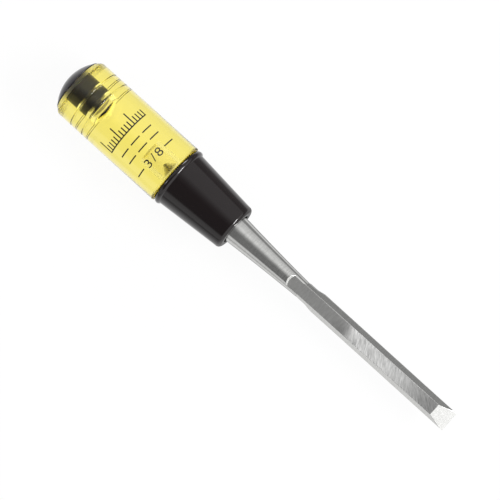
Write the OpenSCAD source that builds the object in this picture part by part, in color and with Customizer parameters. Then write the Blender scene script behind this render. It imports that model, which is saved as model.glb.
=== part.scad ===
// Wood chisel, 3/8 inch, with a clear handle, a domed strike cap and a tapered ferrule.
// Frame: +X runs along the tool from the cap to the cutting edge, +Z is the bevel side,
// the tool lies on z = 0 and its length is centred on x = 0. All sizes are millimetres.
// Inside the modules, stations along the tool are counted from the top of the cap's dome.

/* [Strike cap] */
// Diameter of the cap's head
cap_d = 25.8; // [22:0.1:27]
// Height of the dome above the head's straight edge
cap_dome_h = 4.9; // [2:0.1:8]
// Height of the straight edge under the dome
cap_edge_h = 0.4; // [0.2:0.1:1.5]
// Diameter of the stem that is pressed into the handle
stem_d = 10.2; // [8:0.1:12]
// Length of the stem under the head
stem_l = 14.7; // [13.8:0.1:18]
// Diameter of the stem at the bottom of its ring grooves
stem_neck_d = 4.6; // [3:0.1:7]
// Width of each ring groove in the stem
stem_ring_w = 1.5; // [0.8:0.1:2]
// Distance from the head to the first ring groove
stem_ring_start = 6.9; // [2:0.1:7.6]
// Distance from the first ring groove to the second
stem_ring_pitch = 5.2; // [3:0.1:6]
// Length of the stem's hole past the stem's end, down to its drilled point
stem_hole_past = 2.5; // [0.3:0.1:6]

/* [Handle] */
// Diameter of the grip
handle_d = 29.4; // [28:0.1:34]
// Length of the grip, from the cap's seat to the ferrule's seat
grip_l = 58.2; // [50:0.1:90]
// Length along the grip of the bevel on its upper edge
grip_bevel_l = 1.9; // [0.5:0.1:3]
// Width of that bevel across the grip's upper end
grip_bevel_w = 1.3; // [0.5:0.1:1.8]
// Radius that rounds the grip's lower edge
grip_foot_r = 1; // [0.5:0.1:2]
// Width of each ring groove round the grip
grip_ring_w = 1.1; // [0.6:0.1:2]
// Depth of each ring groove round the grip
grip_ring_depth = 0.45; // [0.2:0.05:1]
// Distance from the cap's seat to the middle of the first ring groove
grip_ring_start = 9.5; // [6:0.1:16]
// Distance from the first ring groove to the second
grip_ring_pitch = 6.4; // [3:0.1:12]

/* [Ferrule] */
// Length of the ferrule
ferrule_l = 35.3; // [25:0.1:45]
// How far the ferrule's taper starts below the grip's surface
ferrule_step = 0.8; // [0.4:0.05:1.7]
// Outside diameter of the ferrule at its nose
ferrule_nose_d = 22.2; // [20:0.1:24]
// Thickness of the ferrule's tapered wall
ferrule_wall = 2; // [1:0.1:2.5]
// Thickness of the wall at the ferrule's nose
nose_t = 2.2; // [1.2:0.1:4]
// Radius that rounds the nose's outer corner
nose_r = 1.8; // [0.3:0.1:2]
// How far the bead at the ferrule's upper end stays below the grip's surface
bead_step = 0.1; // [-0.3:0.05:0.4]
// Radius of the bead's round section
bead_r = 1.6; // [1.4:0.1:3]

/* [Shank and tang] */
// Diameter of the shank where it bears on the handle
shank_d = 13.7; // [12:0.1:14.5]
// Diameter of the shank at the waist, where the blade grows out of it
waist_d = 8.3; // [7.9:0.1:9.5]
// Length of the shank's taper, from the handle to the waist
shank_l = 41; // [30:0.1:60]
// How far the shank's sides sink below a straight taper
shank_sag = 0.17; // [0:0.01:0.4]
// Length over which the round shank dies away inside the blade
fade_l = 7; // [4:0.1:10]
// Diameter that the round shank still has where it ends inside the blade
fade_d = 6; // [4:0.1:6.6]
// Diameter of the tang in the handle
tang_d = 8.5; // [6:0.1:9.5]
// Length of the tang, point and all
tang_l = 39.6; // [20:0.1:44]
// Length of the tang's tapered point
tang_point_l = 4.5; // [2:0.1:12]
// Diameter of the tang's blunt tip
tang_tip_d = 1.6; // [0.5:0.1:4]
// Length of the tang's hole past the tang's tip, up to its drilled point
tang_hole_past = 8.3; // [1:0.1:10]

/* [Blade] */
// Width of the blade
blade_w = 9.525; // [8.8:0.005:12]
// Length of the blade, from the waist to the cutting edge
blade_l = 85.4; // [60:0.1:120]
// Width of the flat stock behind the blade's shoulders
neck_w = 8.1; // [7.6:0.1:8.6]
// Length of that flat stock, from the waist to the shoulders
neck_l = 4.6; // [2:0.1:8]
// Length over which the shoulders flare out to the blade's width
flare_l = 5.1; // [2:0.1:8]
// Width of the flat stock where it starts inside the shank
lead_w = 6.4; // [5.5:0.1:6.8]
// Distance from that start to the waist
lead_back = 3; // [2:0.1:4]
// Length over which the flat stock grows from that start to its width
lead_l = 4.5; // [3:0.1:6]
// Width of the flat along the top of the blade
top_w = 5.6; // [4.6:0.1:5.7]
// Slope of the long side bevels against the flat back
side_angle = 57; // [45:1:60]
// Thickness of the blade at the back of the cutting bevel
blade_t = 3.8; // [3.5:0.1:4.1]
// Thickness where the sloping top flat meets the ground face
ridge_t = 4.2; // [3.9:0.1:5]
// Thickness where the sloping top flat starts on the shank
root_t = 6; // [5.5:0.1:6.1]
// Distance from the waist forward to the ridge between the two top faces
ridge_at = 26.4; // [18:0.1:40]
// Distance from the waist back to the start of the sloping top flat
root_at = 6.2; // [5:0.1:12]
// Slope of the cutting bevel against the flat back
cutting_angle = 25; // [20:1:35]
// Height of the tool's axis above the flat back
back_drop = 2.6; // [2.3:0.1:2.8]
// Distance from the waist back to the start of the flat back
back_at = 1.5; // [0.5:0.1:3]
// Radius of the grinding run-out where the flat back starts
back_runout_r = 20; // [8:1:40]
// Radius, seen from above, of the curved start of the sloping top flat
top_runout_r = 6; // [4.6:0.1:9]
// Slope of that curved start against the flat back
top_runout_angle = 55; // [35:1:60]

/* [Fits] */
// Gap all round between the shank's upper end and the hole in the ferrule's nose
shank_gap = 0.6; // [0.3:0.1:1.5]
// Gap all round between a pressed-in piece and its hole
press_gap = 0.05; // [0.02:0.01:0.1]
// Gap between the end of the handle's spigot and the inside of the ferrule's nose
nose_gap = 0.2; // [0.1:0.05:0.5]
// Point angle of the drill that made the handle's holes
drill_angle = 118; // [90:1:140]

/* [Hidden] */
$fn = 96;

// Stations along the tool, from the top of the cap's dome
seat_u = cap_dome_h + cap_edge_h;
collar_u = seat_u + grip_l;
nose_u = collar_u + ferrule_l;
bolster_u = nose_u - nose_t - nose_gap;
waist_u = bolster_u + shank_l;
edge_u = waist_u + blade_l;
tang_tip_u = bolster_u - tang_l;
tang_hole_u = tang_tip_u - tang_hole_past;
root_u = waist_u - root_at;
ridge_u = waist_u + ridge_at;
bevel_u = edge_u - blade_t / tan(cutting_angle);
lead_u = waist_u - lead_back;
shoulder_u = waist_u + neck_l;
back_u = waist_u - back_at;

// The ferrule's upper end takes its size from the grip
ferrule_top_d = handle_d - 2 * ferrule_step;
bead_d = handle_d - 2 * bead_step;

// The tool's axis lies this high above the surface it rests on
axis_z = max(handle_d, bead_d) / 2;

// Holes take the size of what goes in them
stem_hole_d = stem_d + 2 * press_gap;
stem_hole_l = stem_l + stem_hole_past;
tang_hole_d = tang_d + 2 * press_gap;
nose_hole_d = shank_d + 2 * shank_gap;
spigot_top_d = ferrule_top_d - 2 * ferrule_wall - 2 * press_gap;
ferrule_taper = (ferrule_top_d - ferrule_nose_d) / ferrule_l;
spigot_l = bolster_u - collar_u;
spigot_end_d = spigot_top_d - ferrule_taper * spigot_l;
nose_inside_l = ferrule_l - nose_t;

// The dome is a slice of this sphere
dome_r = (pow(cap_d / 2, 2) + pow(cap_dome_h, 2)) / (2 * cap_dome_h);

// Steps in each rounded corner, along the shank and across the flare
corner_steps = 8;
shank_steps = 8;
flare_steps = 8;
// Reach of a cut past what it cuts
past = 1;
// Height that a bar has above its top face before it is ground
spare = 1;
// Length by which the two stretches of the bar run into each other at the ridge
lap = 5;
// Height of the top flat's curved start above and below the flat
runout_h = 2;

// Points of an arc about [x, y]
function arc(x, y, r, from, to) =
    [for (i = [0 : corner_steps])
        let (a = from + (to - from) * i / corner_steps)
        [x + r * cos(a), y + r * sin(a)]];

// Shank radius at share t of its taper
function shank_r(t) =
    (shank_d + (waist_d - shank_d) * t) / 2 - 4 * shank_sag * t * (1 - t);

// Half width of the blade at share t of its flare
function flare_y(t) = (neck_w + (blade_w - neck_w) * (1 - cos(180 * t)) / 2) / 2;

// Lays a shape that stands on the tool's axis along +X
module along_tool(u = 0) {
    translate([u - edge_u / 2, 0, axis_z]) rotate([0, 90, 0]) children();
}

// Places a shape drawn as [station, width, height above the flat back]
module on_back() {
    translate([-edge_u / 2, 0, axis_z - back_drop]) children();
}

// A hole with a drilled point, from its mouth at z = 0 upwards
module drilled_hole(d, l) {
    translate([0, 0, -past]) cylinder(d = d, h = l + past);
    translate([0, 0, l]) cylinder(d1 = d, d2 = 0, h = d / 2 / tan(drill_angle / 2));
}

// A ring groove of the given bottom diameter, from z = 0 upwards
module ring_cut(outer_d, bottom_d, w) {
    difference() {
        cylinder(d = outer_d + 2 * past, h = w);
        translate([0, 0, -past]) cylinder(d = bottom_d, h = w + 2 * past);
    }
}

// Domed head with a grooved stem
module strike_cap() color([0.1, 0.09, 0.11]) along_tool() {
    intersection() {
        translate([0, 0, dome_r]) sphere(r = dome_r);
        cylinder(d = cap_d, h = seat_u);
    }
    difference() {
        translate([0, 0, cap_dome_h]) cylinder(d = stem_d, h = cap_edge_h + stem_l);
        for (i = [0, 1])
            translate([0, 0, seat_u + stem_ring_start + i * stem_ring_pitch])
                ring_cut(stem_d, stem_neck_d, stem_ring_w);
    }
}

// Clear grip with two ring grooves, a tapered spigot for the ferrule and a hole in each end
module handle() color([0.98, 0.9, 0.35, 0.6]) difference() {
    along_tool(seat_u) rotate_extrude() polygon(concat(
        [[0, 0], [handle_d / 2 - grip_bevel_w, 0], [handle_d / 2, grip_bevel_l]],
        arc(handle_d / 2 - grip_foot_r, grip_l - grip_foot_r, grip_foot_r, 0, 90),
        [[spigot_top_d / 2, grip_l],
         [spigot_end_d / 2, grip_l + spigot_l],
         [0, grip_l + spigot_l]]));
    for (i = [0, 1])
        along_tool(seat_u + grip_ring_start + i * grip_ring_pitch - grip_ring_w / 2)
            ring_cut(handle_d, handle_d - 2 * grip_ring_depth, grip_ring_w);
    along_tool(seat_u) drilled_hole(stem_hole_d, stem_hole_l);
    along_tool(bolster_u) mirror([0, 0, 1]) drilled_hole(tang_hole_d, bolster_u - tang_hole_u);
}

// Tapered sleeve with a bead at the handle and a holed nose
module ferrule() color([0.12, 0.12, 0.13]) along_tool(collar_u) difference() {
    union() {
        rotate_extrude() polygon(concat(
            [[0, 0], [ferrule_top_d / 2 - ferrule_taper / 2 * bead_r, bead_r]],
            arc(ferrule_nose_d / 2 - nose_r, ferrule_l - nose_r, nose_r, 0, 90),
            [[0, ferrule_l]]));
        rotate_extrude() polygon(concat(
            [[0, 0]],
            arc(bead_d / 2 - bead_r, bead_r, bead_r, -90, 90),
            [[0, 2 * bead_r]]));
    }
    translate([0, 0, -past])
        cylinder(d1 = ferrule_top_d - 2 * ferrule_wall + ferrule_taper * past,
                 d2 = ferrule_top_d - 2 * ferrule_wall - ferrule_taper * nose_inside_l,
                 h = nose_inside_l + past);
    cylinder(d = nose_hole_d, h = ferrule_l + past);
}

// Round part of the forging: pointed tang, shoulder, tapered shank and its end inside the blade
module round_stock() {
    along_tool() rotate_extrude() polygon(concat(
        [[0, tang_tip_u],
         [tang_tip_d / 2, tang_tip_u],
         [tang_d / 2, tang_tip_u + tang_point_l],
         [tang_d / 2, bolster_u]],
        [for (i = [0 : shank_steps])
            [shank_r(i / shank_steps), bolster_u + shank_l * i / shank_steps]],
        [[fade_d / 2, waist_u + fade_l],
         [0, waist_u + fade_l]]));
}

// Bar with bevelled sides under a top line that runs from [u1, t1] to [u2, t2]
module bevelled_bar(u1, t1, u2, t2) {
    slope = atan((t1 - t2) / (u2 - u1));
    bevel = tan(side_angle) * cos(slope);
    top_y = top_w / 2 - spare / bevel;
    side_y = blade_w / 2 + spare;
    side_drop = (side_y - top_w / 2) * bevel;
    intersection() {
        translate([u1, 0, t1]) rotate([0, slope, 0]) rotate([90, 0, 90])
            translate([0, 0, -t1]) linear_extrude(height = u2 - u1 + 3 * t1)
                polygon([[-top_y, spare], [-side_y, -side_drop], [-side_y, -2 * t1],
                         [side_y, -2 * t1], [side_y, -side_drop], [top_y, spare]]);
        translate([u1, -blade_w, -spare]) cube([u2 - u1, 2 * blade_w, t1 + 3 * spare]);
    }
}

// Height above the back, at station u, of the sloping top flat and of the ground face
function root_height(u) = root_t + (ridge_t - root_t) * (u - root_u) / (ridge_u - root_u);
function face_height(u) = ridge_t + (blade_t - ridge_t) * (u - ridge_u) / (bevel_u - ridge_u);

// Outline of the bar's right half, seen from above, from its start inside the shank past the edge
right_side = concat(
    [[lead_u, lead_w / 2], [lead_u + lead_l, neck_w / 2]],
    [for (i = [0 : flare_steps]) [shoulder_u + flare_l * i / flare_steps, flare_y(i / flare_steps)]],
    [[edge_u + past, blade_w / 2]]);
left_side = [for (i = [len(right_side) - 1 : -1 : 0]) [right_side[i][0], -right_side[i][1]]];

// Flat bar of the blade, before its top and back are ground
module flat_stock() intersection() {
    root_end_u = ridge_u + lap;
    face_start_u = ridge_u - lap;
    face_end_u = edge_u + 2 * past;
    union() {
        bevelled_bar(lead_u, root_height(lead_u), root_end_u, root_height(root_end_u));
        bevelled_bar(face_start_u, face_height(face_start_u), face_end_u, face_height(face_end_u));
    }
    translate([0, 0, -2 * spare]) linear_extrude(height = root_t + 4 * spare)
        polygon(concat(right_side, left_side));
}

// What is ground off above the top faces and the cutting bevel, with a round start
module top_cut() intersection() {
    start_u = root_u - top_runout_r;
    middle_u = root_u + top_runout_r;
    runout = runout_h / tan(top_runout_angle);
    rotate([90, 0, 0]) linear_extrude(height = 2 * shank_d, center = true)
        polygon([[start_u, root_height(start_u)], [ridge_u, ridge_t], [bevel_u, blade_t],
                 [edge_u + 2 * past, -2 * past * tan(cutting_angle)],
                 [edge_u + 2 * past, root_t + shank_d], [start_u, root_t + shank_d]]);
    union() {
        translate([middle_u, 0, root_t - runout_h])
            cylinder(r1 = top_runout_r - runout, r2 = top_runout_r + runout, h = 2 * runout_h);
        translate([middle_u, -2 * shank_d, -shank_d])
            cube([edge_u - middle_u + 3 * past, 4 * shank_d, 3 * shank_d]);
    }
}

// What is ground off below the flat back
module back_cut() {
    translate([back_u, -shank_d, -shank_d]) cube([edge_u - back_u + 2 * past, 2 * shank_d, shank_d]);
    translate([back_u, 0, -back_runout_r]) rotate([90, 0, 0])
        cylinder(r = back_runout_r, h = 2 * shank_d, center = true);
}

// Blade, shank and tang, one forging
module blade() color([0.72, 0.72, 0.72]) difference() {
    union() {
        round_stock();
        on_back() flat_stock();
    }
    on_back() top_cut();
    on_back() back_cut();
}

blade();
handle();
strike_cap();
ferrule();
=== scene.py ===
"""Wood chisel with a clear handle: its pieces, their finishes and the stage of its picture."""
import math

import bmesh
import bpy
from bpy.props import FloatProperty, FloatVectorProperty, IntProperty, PointerProperty
from mathutils import Matrix, Vector


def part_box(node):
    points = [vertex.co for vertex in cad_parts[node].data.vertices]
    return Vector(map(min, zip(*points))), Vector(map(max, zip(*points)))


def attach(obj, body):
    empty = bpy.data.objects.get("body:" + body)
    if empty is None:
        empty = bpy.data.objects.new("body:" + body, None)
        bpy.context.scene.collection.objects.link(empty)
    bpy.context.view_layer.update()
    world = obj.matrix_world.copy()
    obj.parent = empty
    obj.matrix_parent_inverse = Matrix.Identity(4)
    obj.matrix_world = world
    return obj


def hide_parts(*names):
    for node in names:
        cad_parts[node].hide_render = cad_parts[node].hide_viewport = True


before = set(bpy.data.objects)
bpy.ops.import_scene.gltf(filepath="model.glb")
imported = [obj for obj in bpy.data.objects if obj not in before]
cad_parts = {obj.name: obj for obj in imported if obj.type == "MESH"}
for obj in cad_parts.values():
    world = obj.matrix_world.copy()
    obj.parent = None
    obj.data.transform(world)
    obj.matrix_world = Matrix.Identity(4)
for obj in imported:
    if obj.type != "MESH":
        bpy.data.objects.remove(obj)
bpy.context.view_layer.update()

bl_info = {
    "name": "Wood chisel",
    "version": (1, 0, 0),
    "blender": (4, 5, 0),
    "location": "View3D > Sidebar > Chisel",
    "description": "Dresses the solids of a wood chisel and sets up its picture",
    "category": "Object",
}

MM = 0.001
MERGE_DISTANCE = 0.002 * MM
WHITE = (1.0, 1.0, 1.0, 1.0)
SOFTLY = {"interpolation_type": "SMOOTHSTEP"}

# Stations along the tool, taken from the solids
CAP_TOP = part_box("strike_cap")[0].x
STEM_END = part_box("strike_cap")[1].x
CAP_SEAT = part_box("handle")[0].x
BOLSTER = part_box("handle")[1].x
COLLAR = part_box("ferrule")[0].x
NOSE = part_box("ferrule")[1].x
CUTTING_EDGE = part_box("blade")[1].x


def length(name, description, default):
    """A length that a user may change, given in millimetres."""
    return FloatProperty(name=name, description=description, default=default * MM, min=0.0,
                         precision=5, unit="LENGTH")


def angle(name, description, default):
    """An angle that a user may change, given in degrees."""
    return FloatProperty(name=name, description=description, default=math.radians(default),
                         subtype="ANGLE")


def colour(name, description, default):
    """A colour that a user may change, given as an sRGB hex value."""
    return FloatVectorProperty(name=name, description=description, default=linear(default)[:3],
                               min=0.0, max=1.0, subtype="COLOR")


def linear(hex_value):
    """Linear red, green, blue and alpha of an sRGB hex value such as FFCC00."""
    parts = [int(hex_value[i:i + 2], 16) / 255 for i in (0, 2, 4)]
    curve = [c / 12.92 if c <= 0.04045 else ((c + 0.055) / 1.055) ** 2.4 for c in parts]
    return (*curve, 1.0)


# Settings

class CapSettings(bpy.types.PropertyGroup):
    """Sizes and colour of the strike cap."""
    head_diameter: length("Head diameter", "Diameter of the domed head", 25.8)
    dome_height: length("Dome height", "Height of the dome above the head's straight edge", 4.9)
    rim_round: length("Rim rounding", "Radius of the moulded rim between dome and edge", 0.35)
    stem_diameter: length("Stem diameter", "Diameter of the stem's ribs", 10.2)
    neck_diameter: length("Neck diameter", "Diameter at the bottom of the stem's ring grooves", 4.6)
    groove_width: length("Groove width", "Width of each ring groove in the stem", 1.5)
    groove_start: length("First groove", "Distance from the seat to the first ring groove", 6.9)
    groove_pitch: length("Groove pitch", "Distance from the first ring groove to the second", 5.2)
    rib_round: length("Rib rounding", "Radius on the edges of the stem's ribs", 0.15)
    plastic: colour("Plastic", "Colour of the cap's plastic", "130E16")


class HandleSettings(bpy.types.PropertyGroup):
    """Sizes and colour of the clear handle."""
    axis_height: length("Axis height", "Height of the tool's axis above the floor", 14.7)
    grip_diameter: length("Grip diameter", "Diameter of the plain grip", 29.4)
    bevel_length: length("Bevel length", "Length along the grip of the bevel on its upper edge", 1.9)
    bevel_width: length("Bevel width", "Width of that bevel across the grip's upper end", 1.3)
    bevel_round: length("Bevel rounding", "Radius on the edges of that bevel", 0.12)
    foot_round: length("Lower rounding", "Radius on the grip's lower edge", 1.0)
    ring_width: length("Ring width", "Width of each ring groove round the grip", 1.1)
    ring_depth: length("Ring depth", "Depth of each ring groove round the grip", 0.45)
    ring_start: length("First ring", "Distance from the cap's seat to the first ring groove", 9.5)
    ring_pitch: length("Ring pitch", "Distance from the first ring groove to the second", 6.4)
    end_gap: length("End gap", "Thin air gap at the cap and at the ferrule", 0.06)
    grip_of_bore: length("Bore grip", "How far the plastic closes on the stem's ribs", 0.02)
    stem_bore_length: length("Stem bore", "Length of the stem's hole to its drilled point", 17.2)
    tang_bore_diameter: length("Tang bore", "Diameter of the tang's hole", 8.6)
    tang_bore_length: length("Tang bore length", "Length of the tang's hole to its domed end", 47.9)
    tang_bore_dome: length("Tang bore dome", "Height of the shallow dome that ends the tang's hole", 0.7)
    drill_angle: angle("Drill angle", "Point angle of the stem hole's drill", 118)
    spigot_gap: length("Spigot gap", "Gap all round between the spigot and the ferrule", 0.05)
    skin: colour("Skin", "Tint that light takes at each surface of the plastic", "FFFAD6")
    stain: colour("Stain", "Colour that the depth of the plastic lets through", "FEF638")
    stain_density: FloatProperty(name="Stain density", description="Absorption per metre",
                                 default=48.8, min=0.0)


class FerruleSettings(bpy.types.PropertyGroup):
    """Sizes and colour of the ferrule."""
    top_diameter: length("Top diameter", "Outside diameter of the taper at the handle", 27.8)
    nose_diameter: length("Nose diameter", "Outside diameter at the nose", 22.2)
    wall: length("Wall", "Thickness of the tapered wall", 2.0)
    nose_wall: length("Nose wall", "Thickness of the wall at the nose", 2.2)
    nose_round: length("Nose rounding", "Radius on the nose's outer corner", 1.8)
    hole_diameter: length("Hole diameter", "Diameter of the hole for the shank", 14.9)
    hole_round: length("Hole rounding", "Radius on the hole's outer edge", 0.3)
    bead_diameter: length("Bead diameter", "Outside diameter of the bead", 29.2)
    bead_round: length("Bead rounding", "Radius of the bead's round section", 1.6)
    plastic: colour("Plastic", "Colour of the ferrule's plastic", "0F0809")


class BladeSettings(bpy.types.PropertyGroup):
    """Finish and colours of the blade, shank and tang."""
    edge_break: length("Edge break", "Width of the rounding along the edges of the sloping flat", 0.3)
    fine_break: FloatProperty(name="Fine break", description="Share of that width on the ground edges",
                              default=0.25, min=0.0, max=1.0, subtype="FACTOR")
    ridge_wear: length("Ridge wear", "Width of the worn hollow on each side of the ridge", 7.0)
    plane_area: FloatProperty(name="Plane area", description="Smallest area of a face that is ground plane",
                              default=14 * MM * MM, precision=7, unit="AREA")
    root: length("Root", "Station where the sloping flat starts on the shank", 19.8)
    ridge: length("Ridge", "Station of the ridge between the sloping flat and the ground face", 52.4)
    steel: colour("Steel", "Colour of the ground steel", "CDCDCB")
    face_steel: colour("Face", "Colour of the steel on the ground face", "B5B5B4")
    # The tip's colour is painted shade: the face's steel made darker towards the cutting edge
    tip_steel_painted_shade: colour("Tip", "Colour of the ground face near the cutting edge", "A0A09F")
    honed: colour("Honed", "Colour of the steel where it is honed or rubbed smooth", "E6E6E4")


class PrintSettings(bpy.types.PropertyGroup):
    """Sizes and colour of the plain printed marks on the grip."""
    ink_height: length("Ink height", "Thickness of the printed ink", 0.03)
    line_width: length("Line width", "Width of each tick, dash and rule", 0.58)
    bend_step: length("Bend step", "Longest straight stretch of a mark before it bends round the grip", 1.6)
    turn: angle("Turn", "How far the marks are turned round the grip from the top", 2.6)
    scale_place: length("Scale place", "Distance from the cap's seat to the scale's rule", 32.2)
    tick_count: IntProperty(name="Tick count", description="Number of ticks on the scale", default=15, min=1)
    tick_pitch: length("Tick pitch", "Distance between ticks round the grip", 1.75)
    tick_short: length("Short tick", "Length of a short tick", 3.4)
    tick_long: length("Long tick", "Length of every fifth tick", 6.8)
    rule_place: length("Rule place", "Distance from the cap's seat to the first short rules", 37.2)
    rule_step: length("Rule step", "Distance from the first row of short rules to the second", 4.4)
    rule_length: length("Rule length", "Length of each short rule round the grip", 5.6)
    rule_pitch: length("Rule pitch", "Distance between the short rules round the grip", 7.4)
    size_place: length("Size mark place", "Distance from the cap's seat to the foot of the size mark", 50.0)
    size_height: length("Size mark height", "Height of the figures of the size mark", 3.9)
    size_width: length("Size mark width", "Width of the size mark round the grip", 9.6)
    dash_length: length("Dash length", "Length of the dashes beside the size mark", 5.6)
    dash_offset: length("Dash offset", "Distance from the size mark's middle to the middle of a dash", 9.6)
    ink: colour("Ink", "Colour of the printing ink", "0C0A08")


class StageSettings(bpy.types.PropertyGroup):
    """Place and reach of the camera."""
    camera_place: FloatVectorProperty(name="Camera place", description="Where the camera stands",
                                      default=(0.1886, 0.15679, 1.50648), subtype="TRANSLATION")
    camera_aim: FloatVectorProperty(name="Camera aim", description="Point in the middle of the picture",
                                    default=(-0.002043, -0.002589, 0.0147), subtype="TRANSLATION")
    camera_roll: angle("Camera roll", "Slant of the tool in the picture", 42.22)
    picture_width: length("Picture width", "Width that the picture takes in at the aim", 215.925)


# Helpers

def add_node(tree, kind, options=None, inputs=None):
    """Add a node, set its options, and set or link its inputs. A node given as an input stands for its
    first output in use."""
    node = tree.nodes.new(kind)
    for name, value in (options or {}).items():
        setattr(node, name, value)
    for name, value in (inputs or {}).items():
        if isinstance(value, bpy.types.Node):
            value = next(socket for socket in value.outputs if socket.enabled)
        if isinstance(value, bpy.types.NodeSocket):
            tree.links.new(value, node.inputs[name])
        else:
            node.inputs[name].default_value = value
    return node


def new_material(name):
    """An empty node material, its tree, and the place on the piece that its patterns follow."""
    material = bpy.data.materials.new(name)
    material.use_nodes = True
    tree = material.node_tree
    tree.nodes.clear()
    return material, tree, add_node(tree, "ShaderNodeTexCoord").outputs["Object"]


def new_tree(name, sockets, result):
    """A Geometry Nodes tree with these kinds of named inputs and one result, and its inputs."""
    tree = bpy.data.node_groups.new(name, "GeometryNodeTree")
    for kind, names in sockets.items():
        for socket in names:
            tree.interface.new_socket(socket, in_out="INPUT", socket_type="NodeSocket" + kind)
    tree.interface.new_socket(result, in_out="OUTPUT", socket_type="NodeSocketGeometry")
    return tree, add_node(tree, "NodeGroupInput").outputs


def toned(colour_given, share=1.0):
    """A colour made darker or lighter by a share, with its alpha."""
    return (*[share * part for part in colour_given], 1.0)


def arc(x, r, radius, start, end, steps=8):
    """Points of a round corner about (x, r), with its angles in degrees."""
    angles = [math.radians(start + (end - start) * i / steps) for i in range(steps + 1)]
    return [(x + radius * math.cos(a), r + radius * math.sin(a)) for a in angles]


def new_piece(name, vertices, edges, faces):
    """A mesh object at the origin, linked to the scene."""
    mesh = bpy.data.meshes.new(name)
    mesh.from_pydata(vertices, edges, faces)
    piece = bpy.data.objects.new(name, mesh)
    bpy.context.scene.collection.objects.link(piece)
    return piece


def keep_result(piece):
    """Keep what a piece's modifiers make of it as its plain mesh."""
    depsgraph = bpy.context.evaluated_depsgraph_get()
    result = bpy.data.meshes.new_from_object(piece.evaluated_get(depsgraph))
    piece.modifiers.clear()
    result.name = piece.name
    piece.data = result


def run_tree(piece, tree, values):
    """Run a Geometry Nodes tree on a piece and keep its result as a plain mesh."""
    modifier = piece.modifiers.new(tree.name, "NODES")
    modifier.node_group = tree
    for item in tree.interface.items_tree:
        if item.in_out == "INPUT" and item.name in values:
            modifier[item.identifier] = values[item.name]
    keep_result(piece)


def face_outwards(piece):
    """Turn all faces of a closed piece outwards."""
    shape = bmesh.new()
    shape.from_mesh(piece.data)
    bmesh.ops.recalc_face_normals(shape, faces=shape.faces)
    shape.to_mesh(piece.data)
    shape.free()


def turning_tree():
    """Tree that turns an outline round the tool's axis, as a lathe does."""
    tree, given = new_tree("turned_piece", {
        "Geometry": ["Outline"], "Int": ["Segments"],
        "Float": ["Rail Radius", "Axis Height", "Crease Angle"], "Material": ["Material"]}, "Piece")
    outline = add_node(tree, "GeometryNodeMeshToCurve", inputs={"Mesh": given["Outline"]})
    rail = add_node(tree, "GeometryNodeCurvePrimitiveCircle",
                    inputs={"Resolution": given["Segments"], "Radius": given["Rail Radius"]})
    turned = add_node(tree, "GeometryNodeCurveToMesh", inputs={"Curve": rail, "Profile Curve": outline})
    place = add_node(tree, "ShaderNodeCombineXYZ", inputs={"Z": given["Axis Height"]})
    laid = add_node(tree, "GeometryNodeTransform",
                    inputs={"Geometry": turned, "Rotation": (0.0, math.pi / 2, 0.0), "Translation": place})
    merged = add_node(tree, "GeometryNodeMergeByDistance",
                      inputs={"Geometry": laid, "Distance": MERGE_DISTANCE})
    smooth = add_node(tree, "GeometryNodeSetShadeSmooth", inputs={"Geometry": merged})
    bend = add_node(tree, "GeometryNodeInputMeshEdgeAngle").outputs["Unsigned Angle"]
    crease = add_node(tree, "FunctionNodeCompare", {"operation": "GREATER_THAN"},
                      {"A": bend, "B": given["Crease Angle"]})
    creased = add_node(tree, "GeometryNodeSetShadeSmooth", {"domain": "EDGE"},
                       {"Geometry": smooth, "Selection": crease, "Shade Smooth": False})
    real = add_node(tree, "GeometryNodeRealizeInstances", inputs={"Geometry": creased})
    coated = add_node(tree, "GeometryNodeSetMaterial",
                      inputs={"Geometry": real, "Material": given["Material"]})
    add_node(tree, "NodeGroupOutput", inputs={"Piece": coated})
    return tree


def turn(name, outline, closed, material, segments=192):
    """A piece turned round the tool's axis from an outline of (station, radius) points."""
    rail = 10 * MM
    crease = math.radians(28)
    points = [(r - rail, -x, 0.0) for x, r in outline]
    edges = [(i, i + 1) for i in range(len(points) - 1)]
    if closed:
        edges.append((len(points) - 1, 0))
    piece = new_piece(name, points, edges, [])
    height = bpy.context.scene.chisel_handle.axis_height
    tree = bpy.data.node_groups.get("turned_piece") or turning_tree()
    run_tree(piece, tree, {"Segments": segments, "Rail Radius": rail, "Axis Height": height,
                           "Crease Angle": crease, "Material": material})
    face_outwards(piece)
    return piece


def settle(piece, node):
    """Put a finished piece on the one body, and hide the solid that it stands for."""
    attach(piece, "root")
    if node:
        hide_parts(node)


# Finishes

def moulded_black(name, settings, gloss):
    """Injection-moulded polypropylene: black and glossy, with a faint ripple from the mould that
    makes its reflections waver, and handling scuffs along it that dull it in patches."""
    ripple_size = 3 * MM
    ripple_height = 0.03 * MM
    scuff_size = 1.2 * MM
    scuff_dulling = 0.12
    darkest = 0.8
    palest = 1.25
    material, tree, place = new_material(name)
    ripple = add_node(tree, "ShaderNodeTexNoise",
                      inputs={"Vector": place, "Scale": 1 / ripple_size, "Detail": 2.0})
    drawn_out = add_node(tree, "ShaderNodeMapping", inputs={"Vector": place, "Scale": (0.25, 1.0, 1.0)})
    scuffs = add_node(tree, "ShaderNodeTexNoise",
                      inputs={"Vector": drawn_out, "Scale": 1 / scuff_size, "Detail": 6.0, "Roughness": 0.7})
    dulling = add_node(tree, "ShaderNodeMapRange",
                       inputs={"Value": scuffs, "From Min": 0.4, "From Max": 0.75,
                               "To Min": gloss, "To Max": gloss + scuff_dulling})
    shade = add_node(tree, "ShaderNodeMix", {"data_type": "RGBA"},
                     {"Factor": scuffs, "A": toned(settings.plastic, darkest),
                      "B": toned(settings.plastic, palest)})
    bump = add_node(tree, "ShaderNodeBump",
                    inputs={"Height": ripple, "Strength": 0.15, "Distance": ripple_height})
    shader = add_node(tree, "ShaderNodeBsdfPrincipled",
                      inputs={"Base Color": shade, "Roughness": dulling, "IOR": 1.49, "Normal": bump})
    add_node(tree, "ShaderNodeOutputMaterial", inputs={"Surface": shader})
    return material


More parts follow.
